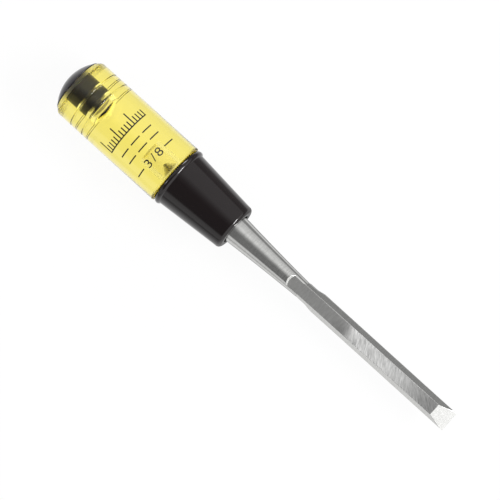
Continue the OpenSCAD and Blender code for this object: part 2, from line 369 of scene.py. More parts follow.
def clear_acetate(settings):
    """Cellulose acetate rod, turned and solvent-polished: clear through, stained yellow by its depth,
    with a slow waviness left by the polish that bends what shows through it, and pale glossy sides."""
    wave_size = 7 * MM
    wave_height = 0.02 * MM
    hairline_size = 0.9 * MM
    hairline_dulling = 0.05
    bore_dulling = 0.22
    edge_dulling = 0.45
    bore_margin = 1.05
    past_bore_end = 4 * MM
    seam = 0.1 * MM
    edge_fade = 0.3 * MM
    grip_r = settings.grip_diameter / 2
    material, tree, place = new_material("acetate_clear_polished")
    waves = add_node(tree, "ShaderNodeTexNoise",
                     inputs={"Vector": place, "Scale": 1 / wave_size, "Detail": 1.0})
    drawn_out = add_node(tree, "ShaderNodeMapping", inputs={"Vector": place, "Scale": (1.0, 0.12, 0.12)})
    hairlines = add_node(tree, "ShaderNodeTexNoise",
                         inputs={"Vector": drawn_out, "Scale": 1 / hairline_size, "Detail": 4.0})
    haze = add_node(tree, "ShaderNodeMapRange",
                    inputs={"Value": hairlines, "From Min": 0.45, "From Max": 0.8,
                            "To Min": 0.0, "To Max": hairline_dulling})
    # The drill leaves the tang's hole dull
    parts = add_node(tree, "ShaderNodeSeparateXYZ", inputs={"Vector": place}).outputs
    rise = add_node(tree, "ShaderNodeMath", {"operation": "SUBTRACT"},
                    {0: parts["Z"], 1: settings.axis_height})
    off_axis = add_node(tree, "ShaderNodeCombineXYZ", inputs={"Y": parts["Y"], "Z": rise})
    radius = add_node(tree, "ShaderNodeVectorMath", {"operation": "LENGTH"}, {0: off_axis})
    in_bore = add_node(tree, "ShaderNodeMath", {"operation": "LESS_THAN"},
                       {0: radius, 1: bore_margin * settings.tang_bore_diameter / 2})
    past_stem = add_node(tree, "ShaderNodeMath", {"operation": "GREATER_THAN"},
                         {0: parts["X"], 1: BOLSTER - settings.tang_bore_length - past_bore_end})
    drilled = add_node(tree, "ShaderNodeMath", {"operation": "MULTIPLY"}, {0: in_bore, 1: past_stem})
    bore_dull = add_node(tree, "ShaderNodeMath", {"operation": "MULTIPLY_ADD"},
                         {0: drilled, 1: bore_dulling, 2: haze})
    # The turned bevel and the lower edge aren't polished either
    bevel_end = CAP_SEAT + settings.bevel_length - seam
    foot_start = COLLAR - settings.foot_round
    on_bevel = add_node(tree, "ShaderNodeMapRange", SOFTLY,
                        {"Value": parts["X"], "From Min": bevel_end, "From Max": bevel_end + edge_fade,
                         "To Min": 1.0, "To Max": 0.0})
    on_foot = add_node(tree, "ShaderNodeMapRange", SOFTLY,
                       {"Value": parts["X"], "From Min": foot_start - edge_fade, "From Max": foot_start})
    on_ends = add_node(tree, "ShaderNodeMath", {"operation": "MAXIMUM"}, {0: on_bevel, 1: on_foot})
    outside = add_node(tree, "ShaderNodeMath", {"operation": "GREATER_THAN"},
                       {0: radius, 1: grip_r - settings.bevel_width - seam})
    turned = add_node(tree, "ShaderNodeMath", {"operation": "MULTIPLY"}, {0: on_ends, 1: outside})
    dull = add_node(tree, "ShaderNodeMath", {"operation": "MULTIPLY_ADD"},
                    {0: turned, 1: edge_dulling, 2: bore_dull})
    # The solvent leaves a skin that mirrors more at a slant, and the ring grooves cut through it
    ring_middle = settings.ring_depth / 2
    in_ring = add_node(tree, "ShaderNodeMath", {"operation": "COMPARE"},
                       {0: radius, 1: grip_r - ring_middle, 2: ring_middle - 0.01 * MM})
    skinned = add_node(tree, "ShaderNodeMath", {"operation": "SUBTRACT"}, {0: 1.0, 1: in_ring})
    bump = add_node(tree, "ShaderNodeBump",
                    inputs={"Height": waves, "Strength": 0.2, "Distance": wave_height})
    shader = add_node(tree, "ShaderNodeBsdfPrincipled",
                      inputs={"Base Color": toned(settings.skin), "Roughness": dull, "IOR": 1.47,
                              "Transmission Weight": 1.0, "Normal": bump, "Coat Weight": skinned,
                              "Coat Roughness": 0.0, "Coat IOR": 1.2})
    stain = add_node(tree, "ShaderNodeVolumeAbsorption",
                     inputs={"Color": toned(settings.stain), "Density": settings.stain_density})
    add_node(tree, "ShaderNodeOutputMaterial", inputs={"Surface": shader, "Volume": stain})
    return material


def ground_steel(settings):
    """Carbon steel ground on a belt: bright, with slanting marks of the grit that streak its sheen and
    throw light across themselves, a duller sloping flat, and a shank ground round its axis."""
    belt_lean = 0.4
    steep = math.radians(-60)
    slant = math.radians(-36)
    mark_size = (4 * MM, 0.45 * MM, 2 * MM)
    round_mark_size = (0.4 * MM, 3 * MM, 3 * MM)
    mark_depth = 0.02 * MM
    mean_tone = 0.97
    shank_contrast = 0.4
    shank_roughness = 0.12
    flat_roughness = 0.21
    face_roughness = 0.23
    mark_roughness = 0.1
    material, tree, place = new_material("carbon_steel_belt_ground")
    parts = add_node(tree, "ShaderNodeSeparateXYZ", inputs={"Vector": place}).outputs
    station = parts["X"]
    # The sides of the blade and of the shank keep the shank's finish
    surface = add_node(tree, "ShaderNodeNewGeometry").outputs["True Normal"]
    rise = add_node(tree, "ShaderNodeSeparateXYZ", inputs={"Vector": surface}).outputs["Z"]
    upward = add_node(tree, "ShaderNodeMapRange", SOFTLY, {"Value": rise, "From Min": 0.88, "From Max": 0.97})
    on_flat = add_node(tree, "ShaderNodeMapRange", SOFTLY,
                       {"Value": station, "From Min": settings.root, "From Max": settings.root + 0.6 * MM,
                        "To Max": upward})
    # The belt left the ground face on a slant, over a worn ridge
    left_at = add_node(tree, "ShaderNodeMath", {"operation": "MULTIPLY_ADD"},
                       {0: parts["Y"], 1: belt_lean, 2: station})
    on_face = add_node(tree, "ShaderNodeMapRange", SOFTLY,
                       {"Value": left_at, "From Min": settings.ridge - 9 * MM,
                        "From Max": settings.ridge + 8 * MM, "To Max": upward})
    near_tip = add_node(tree, "ShaderNodeMapRange", SOFTLY,
                        {"Value": station, "From Min": CUTTING_EDGE - 41 * MM,
                         "From Max": CUTTING_EDGE - 8 * MM})
    behind = add_node(tree, "ShaderNodeMath", {"operation": "SUBTRACT"}, {0: on_flat, 1: on_face})
    # The grit's marks are a tenth of a millimetre apart, drawn about half a millimetre apart to show
    grains = []
    for turned, size in ((steep, mark_size), (slant, mark_size), (0.0, round_mark_size)):
        drawn_out = add_node(tree, "ShaderNodeMapping", {"vector_type": "TEXTURE"},
                             {"Vector": place, "Rotation": (0.0, 0.0, turned), "Scale": size})
        grains.append(add_node(tree, "ShaderNodeTexNoise",
                               inputs={"Vector": drawn_out, "Scale": 1.0, "Detail": 3.0}))
    marks = add_node(tree, "ShaderNodeMix", inputs={"Factor": near_tip, "A": grains[0], "B": grains[1]})
    streaks = add_node(tree, "ShaderNodeMix", inputs={"Factor": on_face, "A": grains[2], "B": marks})
    # Light is thrown across the marks: along the shank, across the flat, and square to the slanting marks
    across_marks = add_node(tree, "ShaderNodeMix", {"data_type": "VECTOR"},
                            {"Factor": near_tip, "A": (-math.sin(steep), math.cos(steep), 0.0),
                             "B": (-math.sin(slant), math.cos(slant), 0.0)})
    across_flat = add_node(tree, "ShaderNodeMix", {"data_type": "VECTOR"},
                           {"Factor": on_flat, "A": (1.0, 0.0, 0.0), "B": (0.0, 1.0, 0.0)})
    throw = add_node(tree, "ShaderNodeMix", {"data_type": "VECTOR"},
                     {"Factor": on_face, "A": across_flat, "B": across_marks})
    # Towards the cutting edge the face's steel is painted darker: painted shade, on top of the shade the
    # slanting marks give
    face = add_node(tree, "ShaderNodeMix", {"data_type": "RGBA"},
                    {"Factor": near_tip, "A": toned(settings.face_steel), "B": toned(settings.tip_steel_painted_shade)})
    body = add_node(tree, "ShaderNodeMix", {"data_type": "RGBA"},
                    {"Factor": on_face, "A": toned(settings.steel), "B": face})
    contrast = add_node(tree, "ShaderNodeMath", {"operation": "ADD"}, {0: on_face, 1: shank_contrast})
    from_middle = add_node(tree, "ShaderNodeMath", {"operation": "SUBTRACT"}, {0: streaks, 1: 0.5})
    tone = add_node(tree, "ShaderNodeMath", {"operation": "MULTIPLY_ADD"},
                    {0: from_middle, 1: contrast, 2: mean_tone})
    shade = add_node(tree, "ShaderNodeVectorMath", {"operation": "SCALE"}, {0: body, "Scale": tone})
    # Each finish adds its own roughness to the shank's
    roughness = shank_roughness
    for finish, added in ((behind, flat_roughness), (on_face, face_roughness), (streaks, mark_roughness)):
        roughness = add_node(tree, "ShaderNodeMath", {"operation": "MULTIPLY_ADD"},
                             {0: finish, 1: added, 2: roughness})
    bump = add_node(tree, "ShaderNodeBump",
                    inputs={"Height": streaks, "Strength": 0.2, "Distance": mark_depth})
    shader = add_node(tree, "ShaderNodeBsdfPrincipled",
                      inputs={"Base Color": shade, "Metallic": 1.0, "Anisotropic": 0.9, "Tangent": throw,
                              "Roughness": roughness, "Normal": bump})
    add_node(tree, "ShaderNodeOutputMaterial", inputs={"Surface": shader})
    return material


def honed_steel(settings):
    """Carbon steel honed or rubbed smooth, on the cutting bevel, the flat's curved start and the broken
    edges: brighter than the ground faces and soft all ways, so that it flashes, with small nicks in it."""
    nick_size = 0.8 * MM
    nick_contrast = 0.15
    darkest = 0.88
    bevel_painted_shade = 0.8
    material, tree, place = new_material("carbon_steel_honed")
    nicks = add_node(tree, "ShaderNodeTexNoise",
                     inputs={"Vector": place, "Scale": 1 / nick_size, "Detail": 3.0})
    station = add_node(tree, "ShaderNodeSeparateXYZ", inputs={"Vector": place}).outputs["X"]
    # The cutting bevel's honed steel is painted darker than the rest of it: painted shade
    on_bevel = add_node(tree, "ShaderNodeMapRange",
                        inputs={"Value": station, "From Min": CUTTING_EDGE - 20 * MM,
                                "From Max": CUTTING_EDGE - 12 * MM, "To Min": 1.0, "To Max": bevel_painted_shade})
    worn = add_node(tree, "ShaderNodeMath", {"operation": "MULTIPLY_ADD"},
                    {0: nicks, 1: nick_contrast, 2: darkest})
    tone = add_node(tree, "ShaderNodeMath", {"operation": "MULTIPLY"}, {0: worn, 1: on_bevel})
    shade = add_node(tree, "ShaderNodeVectorMath", {"operation": "SCALE"},
                     {0: tuple(settings.honed), "Scale": tone})
    soft = add_node(tree, "ShaderNodeMapRange", inputs={"Value": nicks, "To Min": 0.22, "To Max": 0.36})
    shader = add_node(tree, "ShaderNodeBsdfPrincipled",
                      inputs={"Base Color": shade, "Metallic": 1.0, "Roughness": soft})
    add_node(tree, "ShaderNodeOutputMaterial", inputs={"Surface": shader})
    return material


def printing_ink(settings):
    """Pad-printed black ink: flat and slightly matt, a little thin in places."""
    thin_patch = 0.4 * MM
    palest = 2.2
    material, tree, place = new_material("ink_pad_printed_black")
    thin = add_node(tree, "ShaderNodeTexNoise",
                    inputs={"Vector": place, "Scale": 1 / thin_patch, "Detail": 3.0})
    shade = add_node(tree, "ShaderNodeMix", {"data_type": "RGBA"},
                     {"Factor": thin, "A": toned(settings.ink), "B": toned(settings.ink, palest)})
    matt = add_node(tree, "ShaderNodeMapRange", inputs={"Value": thin, "To Min": 0.4, "To Max": 0.6})
    shader = add_node(tree, "ShaderNodeBsdfPrincipled", inputs={"Base Color": shade, "Roughness": matt})
    add_node(tree, "ShaderNodeOutputMaterial", inputs={"Surface": shader})
    return material


# Pieces

class CHISEL_OT_cap(bpy.types.Operator):
    """Make the domed strike cap with its grooved stem."""
    bl_idname = "chisel.cap"
    bl_label = "Strike cap"

    def execute(self, context):
        size = context.scene.chisel_cap
        head_r = size.head_diameter / 2
        stem_r = size.stem_diameter / 2
        neck_r = size.neck_diameter / 2
        rim = size.rim_round
        rib = size.rib_round
        dome_r = (head_r ** 2 + size.dome_height ** 2) / (2 * size.dome_height)
        rim_slope = math.degrees(math.asin(head_r / dome_r))
        # The dome stops short of the rim's rounding
        dome_slope = 0.97 * rim_slope
        outline = arc(CAP_TOP + dome_r, 0.0, dome_r, 180.0, 180.0 - dome_slope, steps=24)
        outline[0] = (CAP_TOP, 0.0)
        outline += arc(CAP_TOP + size.dome_height, head_r - rim, rim, 180.0 - rim_slope, 90.0, steps=5)
        outline += arc(CAP_SEAT - rim / 2, head_r - rim / 2, rim / 2, 90.0, 0.0, steps=4)
        outline.append((CAP_SEAT, stem_r))
        for i in (0, 1):
            start = CAP_SEAT + size.groove_start + i * size.groove_pitch
            end = start + size.groove_width
            outline += arc(start - rib, stem_r - rib, rib, 90.0, 0.0, steps=3)
            outline += [(start, neck_r), (end, neck_r)]
            outline += arc(end + rib, stem_r - rib, rib, 180.0, 90.0, steps=3)
        outline += arc(STEM_END - rib, stem_r - rib, rib, 90.0, 0.0, steps=3)
        outline.append((STEM_END, 0.0))
        plastic = moulded_black("polypropylene_cap_black", size, gloss=0.12)
        piece = turn("strike_cap_moulded", outline, False, plastic)
        settle(piece, "strike_cap")
        return {"FINISHED"}


class CHISEL_OT_handle(bpy.types.Operator):
    """Make the clear handle with its ring grooves and the holes drilled in its ends."""
    bl_idname = "chisel.handle"
    bl_label = "Clear handle"

    def execute(self, context):
        size = context.scene.chisel_handle
        grip_r = size.grip_diameter / 2
        ring_r = (size.ring_width ** 2 / 4 + size.ring_depth ** 2) / (2 * size.ring_depth)
        ring_middle_r = grip_r - size.ring_depth + ring_r
        ring_rise = math.degrees(math.asin((ring_r - size.ring_depth) / ring_r))
        top = CAP_SEAT + size.end_gap
        foot = COLLAR - size.end_gap
        drill_slope = math.tan(size.drill_angle / 2)
        stem_r = context.scene.chisel_cap.stem_diameter / 2 - size.grip_of_bore
        stem_end = CAP_SEAT + size.stem_bore_length
        tang_r = size.tang_bore_diameter / 2
        dome_start = BOLSTER - size.tang_bore_length - size.tang_bore_dome
        dome_r = (tang_r ** 2 + size.tang_bore_dome ** 2) / (2 * size.tang_bore_dome)
        dome_rise = math.degrees(math.asin(tang_r / dome_r))
        ferrule = context.scene.chisel_ferrule
        spigot_r = ferrule.top_diameter / 2 - ferrule.wall - size.spigot_gap
        taper = (ferrule.top_diameter - ferrule.nose_diameter) / 2 / (NOSE - COLLAR)
        outline = arc(dome_start + dome_r, 0.0, dome_r, 180.0, 180.0 - dome_rise)
        outline[0] = (dome_start, 0.0)
        outline += [(BOLSTER, tang_r), (BOLSTER, spigot_r - taper * (BOLSTER - COLLAR)), (foot, spigot_r)]
        outline += arc(foot - size.foot_round, grip_r - size.foot_round, size.foot_round, 0.0, 90.0)
        for i in (1, 0):
            middle = CAP_SEAT + size.ring_start + i * size.ring_pitch
            outline += arc(middle, ring_middle_r, ring_r, -ring_rise, ring_rise - 180.0, steps=16)
        slope = math.degrees(math.atan2(size.bevel_width, size.bevel_length))
        edge = size.bevel_round
        bevel_end = top + size.bevel_length + edge * math.tan(math.radians(slope / 2))
        bevel_start = grip_r - size.bevel_width - edge * math.tan(math.radians(45.0 - slope / 2))
        outline += arc(bevel_end, grip_r - edge, edge, 90.0, 90.0 + slope, steps=3)
        outline += arc(top + edge, bevel_start, edge, 90.0 + slope, 180.0, steps=5)
        outline += [(top, stem_r), (stem_end, stem_r), (stem_end + stem_r / drill_slope, 0.0)]
        piece = turn("handle_acetate", outline, False, clear_acetate(size), segments=256)
        settle(piece, "handle")
        return {"FINISHED"}


class CHISEL_OT_ferrule(bpy.types.Operator):
    """Make the tapered ferrule with its bead and holed nose."""
    bl_idname = "chisel.ferrule"
    bl_label = "Ferrule"

    def execute(self, context):
        size = context.scene.chisel_ferrule
        slope = (size.top_diameter - size.nose_diameter) / 2 / (NOSE - COLLAR)
        hole_r = size.hole_diameter / 2
        hole_edge = size.hole_round
        inside_end = NOSE - size.nose_wall
        inside_r = size.top_diameter / 2 - size.wall
        bead_r = size.bead_round
        # The bead runs into the taper just before it would close to a half circle
        bead_end = 25.0
        taper_start = 1.93 * bead_r + 0.15 * MM
        outline = [(COLLAR, inside_r)]
        outline += arc(COLLAR + bead_r, size.bead_diameter / 2 - bead_r, bead_r, 180.0, bead_end, steps=14)
        outline.append((COLLAR + taper_start, size.top_diameter / 2 - slope * taper_start))
        corner = size.nose_round
        outline += arc(NOSE - corner, size.nose_diameter / 2 - corner, corner, 90.0, 0.0, steps=10)
        outline += arc(NOSE - hole_edge, hole_r + hole_edge, hole_edge, 0.0, -90.0, steps=4)
        outline += [(inside_end, hole_r), (inside_end, inside_r - slope * (inside_end - COLLAR))]
        plastic = moulded_black("polypropylene_ferrule_black", size, gloss=0.07)
        piece = turn("ferrule_moulded", outline, True, plastic)
        settle(piece, "ferrule")
        return {"FINISHED"}


class CHISEL_OT_print(bpy.types.Operator):
    """Print a plain scale and the blade's width on the grip."""
    bl_idname = "chisel.print"
    bl_label = "Printed marks"

    def execute(self, context):
        size = context.scene.chisel_print
        grip = context.scene.chisel_handle
        scale_x = CAP_SEAT + size.scale_place
        rule_x = CAP_SEAT + size.rule_place
        size_x = CAP_SEAT + size.size_place
        dash_x = size_x - size.size_height / 2
        rule_rows = [rule_x, rule_x + size.rule_step]
        bars = [(dash_x, side * size.dash_offset, size.dash_length) for side in (-1, 1)]
        bars += [(x, step * size.rule_pitch, size.rule_length) for x in rule_rows for step in (-1, 0, 1)]
        # The scale's rule reaches a little past its end ticks
        bars.append((scale_x, 0.0, (size.tick_count - 1) * size.tick_pitch + 1.2 * size.line_width))
        shape = bmesh.new()
        for x, y, across in bars:
            middle = Vector((x, y, size.ink_height / 2))
            place = Matrix.LocRotScale(middle, None, Vector((size.line_width, across, size.ink_height)))
            corners = bmesh.ops.create_cube(shape, size=1.0, matrix=place)["verts"]
            long_edges = [edge for edge in shape.edges if edge.verts[0] in corners
                          and abs(edge.verts[0].co.y - edge.verts[1].co.y) > across / 2]
            cuts = math.ceil(across / size.bend_step) - 1
            bmesh.ops.subdivide_edges(shape, edges=long_edges, cuts=cuts, use_grid_fill=True)
        shape.from_mesh(self.size_mark(context, size, size_x))
        piece = new_piece("handle_print", [], [], [])
        shape.to_mesh(piece.data)
        shape.free()
        run_tree(piece, self.printing_tree(), {
            "Count": size.tick_count, "Pitch": size.tick_pitch, "Short": size.tick_short,
            "Long": size.tick_long, "Width": size.line_width, "Ink": size.ink_height, "Station": scale_x,
            "Turn": size.turn, "Radius": grip.grip_diameter / 2, "Axis Height": grip.axis_height,
            "Material": printing_ink(size)})
        face_outwards(piece)
        settle(piece, None)
        return {"FINISHED"}

    def size_mark(self, context, size, foot_x):
        """The blade's width in eighths of an inch as a flat mesh, its top towards the cap."""
        text = bpy.data.curves.new("size_mark", "FONT")
        text.body = "3/8"
        text.extrude = 0.5
        text.space_character = 1.25
        holder = bpy.data.objects.new("size_mark", text)
        context.scene.collection.objects.link(holder)
        depsgraph = context.evaluated_depsgraph_get()
        mesh = bpy.data.meshes.new_from_object(holder.evaluated_get(depsgraph))
        bpy.data.objects.remove(holder)
        low = [min(v.co[i] for v in mesh.vertices) for i in (0, 1, 2)]
        high = [max(v.co[i] for v in mesh.vertices) for i in (0, 1, 2)]
        for v in mesh.vertices:
            across, rise, thick = [(v.co[i] - low[i]) / (high[i] - low[i]) for i in (0, 1, 2)]
            v.co = (foot_x - rise * size.size_height, (across - 0.5) * size.size_width,
                    thick * size.ink_height)
        return mesh

    def printing_tree(self):
        """Tree that adds the scale's ticks to flat marks and wraps them all round the grip."""
        long_every = 5.0
        tree, given = new_tree("printed_marks", {
            "Geometry": ["Marks"], "Int": ["Count"],
            "Float": ["Pitch", "Short", "Long", "Width", "Ink", "Station", "Turn", "Radius", "Axis Height"],
            "Material": ["Material"]}, "Print")
        number = add_node(tree, "GeometryNodeInputIndex")
        since_long = add_node(tree, "ShaderNodeMath", {"operation": "MODULO"}, {0: number, 1: long_every})
        is_long = add_node(tree, "ShaderNodeMath", {"operation": "LESS_THAN"}, {0: since_long, 1: 0.5})
        tick = add_node(tree, "ShaderNodeMix",
                        inputs={"Factor": is_long, "A": given["Short"], "B": given["Long"]})
        middle = add_node(tree, "ShaderNodeMath", {"operation": "MULTIPLY_ADD"},
                          {0: tick, 1: -0.5, 2: given["Station"]})
        gaps = add_node(tree, "ShaderNodeMath", {"operation": "SUBTRACT"}, {0: given["Count"], 1: 1.0})
        from_middle = add_node(tree, "ShaderNodeMath", {"operation": "MULTIPLY_ADD"},
                               {0: gaps, 1: -0.5, 2: number})
        around = add_node(tree, "ShaderNodeMath", {"operation": "MULTIPLY"},
                          {0: from_middle, 1: given["Pitch"]})
        raised = add_node(tree, "ShaderNodeMath", {"operation": "MULTIPLY"}, {0: given["Ink"], 1: 0.5})
        spot = add_node(tree, "ShaderNodeCombineXYZ", inputs={"X": middle, "Y": around, "Z": raised})
        row = add_node(tree, "GeometryNodeMeshLine", inputs={"Count": given["Count"]})
        placed = add_node(tree, "GeometryNodeSetPosition", inputs={"Geometry": row, "Position": spot})
        block = add_node(tree, "GeometryNodeMeshCube", inputs={"Size": (1.0, 1.0, 1.0)})
        tick_size = add_node(tree, "ShaderNodeCombineXYZ",
                             inputs={"X": tick, "Y": given["Width"], "Z": given["Ink"]})
        ticks = add_node(tree, "GeometryNodeInstanceOnPoints",
                         inputs={"Points": placed, "Instance": block, "Scale": tick_size})
        joined = add_node(tree, "GeometryNodeJoinGeometry", inputs={"Geometry": given["Marks"]})
        tree.links.new(ticks.outputs["Instances"], joined.inputs["Geometry"])
        real = add_node(tree, "GeometryNodeRealizeInstances", inputs={"Geometry": joined})
        fine = add_node(tree, "GeometryNodeSubdivideMesh", inputs={"Mesh": real, "Level": 1})
        place = add_node(tree, "GeometryNodeInputPosition")
        flat = add_node(tree, "ShaderNodeSeparateXYZ", inputs={"Vector": place}).outputs
        share = add_node(tree, "ShaderNodeMath", {"operation": "DIVIDE"}, {0: flat["Y"], 1: given["Radius"]})
        turned = add_node(tree, "ShaderNodeMath", {"operation": "ADD"}, {0: share, 1: given["Turn"]})
        reach = add_node(tree, "ShaderNodeMath", {"operation": "ADD"}, {0: flat["Z"], 1: given["Radius"]})
        sine = add_node(tree, "ShaderNodeMath", {"operation": "SINE"}, {0: turned})
        cosine = add_node(tree, "ShaderNodeMath", {"operation": "COSINE"}, {0: turned})
        side = add_node(tree, "ShaderNodeMath", {"operation": "MULTIPLY"}, {0: sine, 1: reach})
        top = add_node(tree, "ShaderNodeMath", {"operation": "MULTIPLY_ADD"},
                       {0: cosine, 1: reach, 2: given["Axis Height"]})
        wrapped = add_node(tree, "ShaderNodeCombineXYZ", inputs={"X": flat["X"], "Y": side, "Z": top})
        bent = add_node(tree, "GeometryNodeSetPosition", inputs={"Geometry": fine, "Position": wrapped})
        merged = add_node(tree, "GeometryNodeMergeByDistance",
                          inputs={"Geometry": bent, "Distance": MERGE_DISTANCE})
        coated = add_node(tree, "GeometryNodeSetMaterial",
                          inputs={"Geometry": merged, "Material": given["Material"]})
        add_node(tree, "NodeGroupOutput", inputs={"Print": coated})
        return tree


class CHISEL_OT_blade(bpy.types.Operator):
    """Finish the ground blade, shank and tang from the solid, with its edges lightly broken."""
    bl_idname = "chisel.blade"
    bl_label = "Blade"

    def execute(self, context):
        size = context.scene.chisel_blade
        axis_height = context.scene.chisel_handle.axis_height
        same_plane = math.radians(0.3)
        sharp = math.radians(26)
        crease = math.radians(24)
        level = 0.98
        towards_tip = 0.3
        flat_end = size.ridge - 12 * MM
        honed_slot = 1
        piece = new_piece("blade_ground", [], [], [])
        shape = bmesh.new()
        shape.from_mesh(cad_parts["blade"].data)
        bmesh.ops.remove_doubles(shape, verts=shape.verts, dist=MERGE_DISTANCE)
        bmesh.ops.dissolve_limit(shape, angle_limit=same_plane, verts=shape.verts, edges=shape.edges)
        ridge = [edge for edge in shape.edges if self.on_ridge(edge, size.ridge)]
        bmesh.ops.bevel(shape, geom=ridge, offset=size.ridge_wear, segments=8, profile=0.5, affect="EDGES")
        weight = shape.edges.layers.float.new("bevel_weight_edge")
        for edge in shape.edges:
            middle = (edge.verts[0].co + edge.verts[1].co) / 2
            beside_flat = any(face.normal.z > level for face in edge.link_faces)
            along_flat = beside_flat and size.root < middle.x < flat_end and middle.z > axis_height
            if edge.calc_face_angle_signed(0.0) > sharp:
                edge[weight] = 1.0 if along_flat else size.fine_break
        shape.to_mesh(piece.data)
        shape.free()
        piece.data.materials.append(ground_steel(size))
        piece.data.materials.append(honed_steel(size))
        bevel = piece.modifiers.new("edge_break", "BEVEL")
        bevel.material = honed_slot
        bevel.width = size.edge_break
        bevel.segments = 3
        bevel.limit_method = "WEIGHT"
        bevel.use_clamp_overlap = False
        keep_result(piece)
        piece.data.shade_smooth()
        piece.data.set_sharp_from_angle(angle=crease)
        for face in piece.data.polygons:
            face.use_smooth = face.area < size.plane_area
            if face.normal.x > towards_tip:
                face.material_index = honed_slot
        settle(piece, "blade")
        return {"FINISHED"}

    def on_ridge(self, edge, station):
        """Whether an edge is the ridge between the sloping flat and the ground face."""
        close = 0.1 * MM
        upward = 0.9
        near = all(abs(v.co.x - station) < close for v in edge.verts)
        return near and all(face.normal.z > upward for face in edge.link_faces)


# Stage

